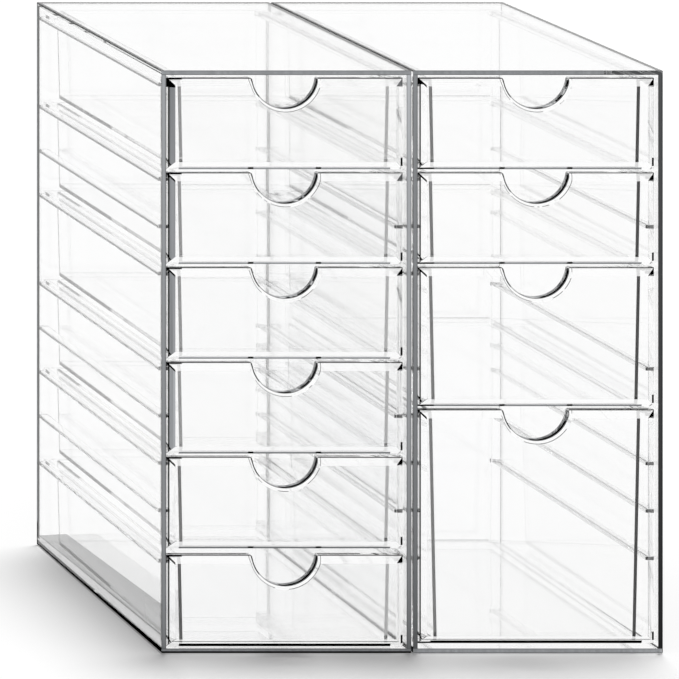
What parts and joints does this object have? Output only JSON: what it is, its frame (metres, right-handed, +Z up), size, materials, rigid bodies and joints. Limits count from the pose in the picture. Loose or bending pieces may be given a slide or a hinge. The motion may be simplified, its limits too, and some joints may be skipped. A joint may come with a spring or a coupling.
{
  "type": "drawer organizer",
  "caption": "Clear plastic desktop drawer towers standing side by side, with bevelled fronts and half-round finger notches, for craft stamps and small supplies.",
  "frame": {"origin": "on the table, under the middle of the pair of towers", "axes": "+Z up, the drawer fronts face -Y, +X to the right of someone facing the fronts"},
  "size_m": [0.2408, 0.18, 0.28],
  "materials": {
    "tower_plastic": "clear, polished",
    "drawer_plastic": "clear, moulded",
    "front_plastic": "clear, polished, bevelled"
  },
  "bodies": {
    "towers": {"left_tower_shell": "tower_plastic", "left_tower_left_ribs": "tower_plastic", "left_tower_right_ribs": "tower_plastic", "right_tower_shell": "tower_plastic", "right_tower_left_ribs": "tower_plastic", "right_tower_right_ribs": "tower_plastic"},
    "left_drawer_1": {"left_drawer_1_tray": "drawer_plastic", "left_drawer_1_front": "front_plastic"},
    "left_drawer_2": {"left_drawer_2_tray": "drawer_plastic", "left_drawer_2_front": "front_plastic"},
    "left_drawer_3": {"left_drawer_3_tray": "drawer_plastic", "left_drawer_3_front": "front_plastic"},
    "left_drawer_4": {"left_drawer_4_tray": "drawer_plastic", "left_drawer_4_front": "front_plastic"},
    "left_drawer_5": {"left_drawer_5_tray": "drawer_plastic", "left_drawer_5_front": "front_plastic"},
    "left_drawer_6": {"left_drawer_6_tray": "drawer_plastic", "left_drawer_6_front": "front_plastic"},
    "right_drawer_1": {"right_drawer_1_tray": "drawer_plastic", "right_drawer_1_front": "front_plastic"},
    "right_drawer_2": {"right_drawer_2_tray": "drawer_plastic", "right_drawer_2_front": "front_plastic"},
    "right_drawer_3": {"right_drawer_3_tray": "drawer_plastic", "right_drawer_3_front": "front_plastic"},
    "right_drawer_4": {"right_drawer_4_tray": "drawer_plastic", "right_drawer_4_front": "front_plastic"}
  },
  "joints": [
    {"name": "left_drawer_1_slide", "type": "slide", "parent": "towers", "child": "left_drawer_1", "axis": [0, -1, 0], "range_m": [0, 0.14]},
    {"name": "left_drawer_2_slide", "type": "slide", "parent": "towers", "child": "left_drawer_2", "axis": [0, -1, 0], "range_m": [0, 0.14]},
    {"name": "left_drawer_3_slide", "type": "slide", "parent": "towers", "child": "left_drawer_3", "axis": [0, -1, 0], "range_m": [0, 0.14]},
    {"name": "left_drawer_4_slide", "type": "slide", "parent": "towers", "child": "left_drawer_4", "axis": [0, -1, 0], "range_m": [0, 0.14]},
    {"name": "left_drawer_5_slide", "type": "slide", "parent": "towers", "child": "left_drawer_5", "axis": [0, -1, 0], "range_m": [0, 0.14]},
    {"name": "left_drawer_6_slide", "type": "slide", "parent": "towers", "child": "left_drawer_6", "axis": [0, -1, 0], "range_m": [0, 0.14]},
    {"name": "right_drawer_1_slide", "type": "slide", "parent": "towers", "child": "right_drawer_1", "axis": [0, -1, 0], "range_m": [0, 0.14]},
    {"name": "right_drawer_2_slide", "type": "slide", "parent": "towers", "child": "right_drawer_2", "axis": [0, -1, 0], "range_m": [0, 0.14]},
    {"name": "right_drawer_3_slide", "type": "slide", "parent": "towers", "child": "right_drawer_3", "axis": [0, -1, 0], "range_m": [0, 0.14]},
    {"name": "right_drawer_4_slide", "type": "slide", "parent": "towers", "child": "right_drawer_4", "axis": [0, -1, 0], "range_m": [0, 0.14]}
  ]
}
